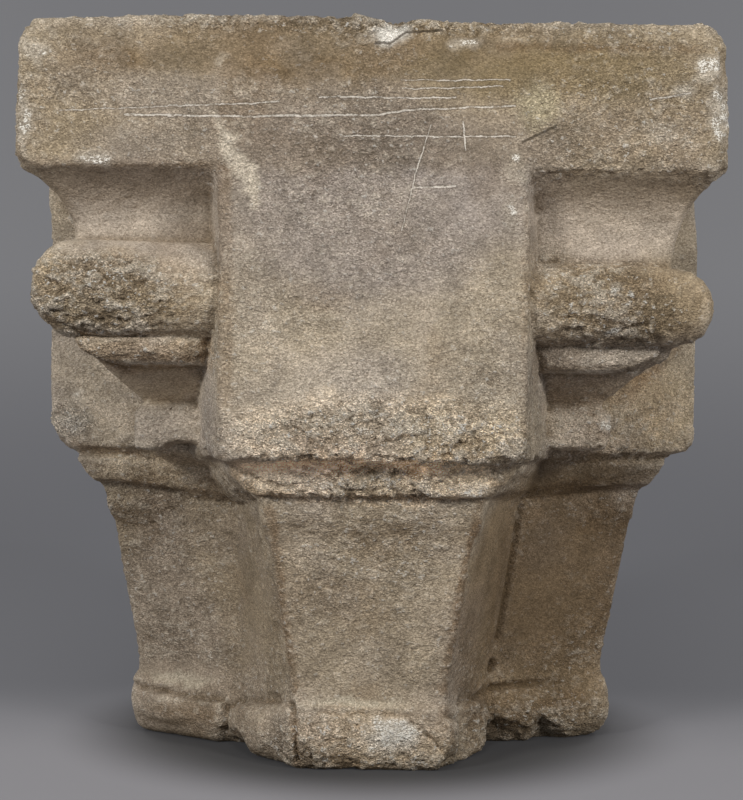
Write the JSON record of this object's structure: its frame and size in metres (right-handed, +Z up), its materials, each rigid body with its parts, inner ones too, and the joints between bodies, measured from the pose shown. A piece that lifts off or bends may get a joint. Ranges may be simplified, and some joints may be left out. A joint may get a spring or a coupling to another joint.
{
  "type": "stone capital",
  "caption": "Weathered stone capital: square abacus, splayed arms, rolled corner consoles and a cross-shaped shaft tapering to a roll foot, made to crown a pier and carry an arch.",
  "frame": {"origin": "centre of the underside, under the middle of the top bed", "axes": "+Z up from the foot to the top bed; -Y is the face seen in the picture, +X its right"},
  "size_m": [0.3008, 0.3008, 0.325],
  "materials": {
    "stone": "matte"
  },
  "bodies": {
    "root": {"capital": "stone"}
  },
  "joints": []
}
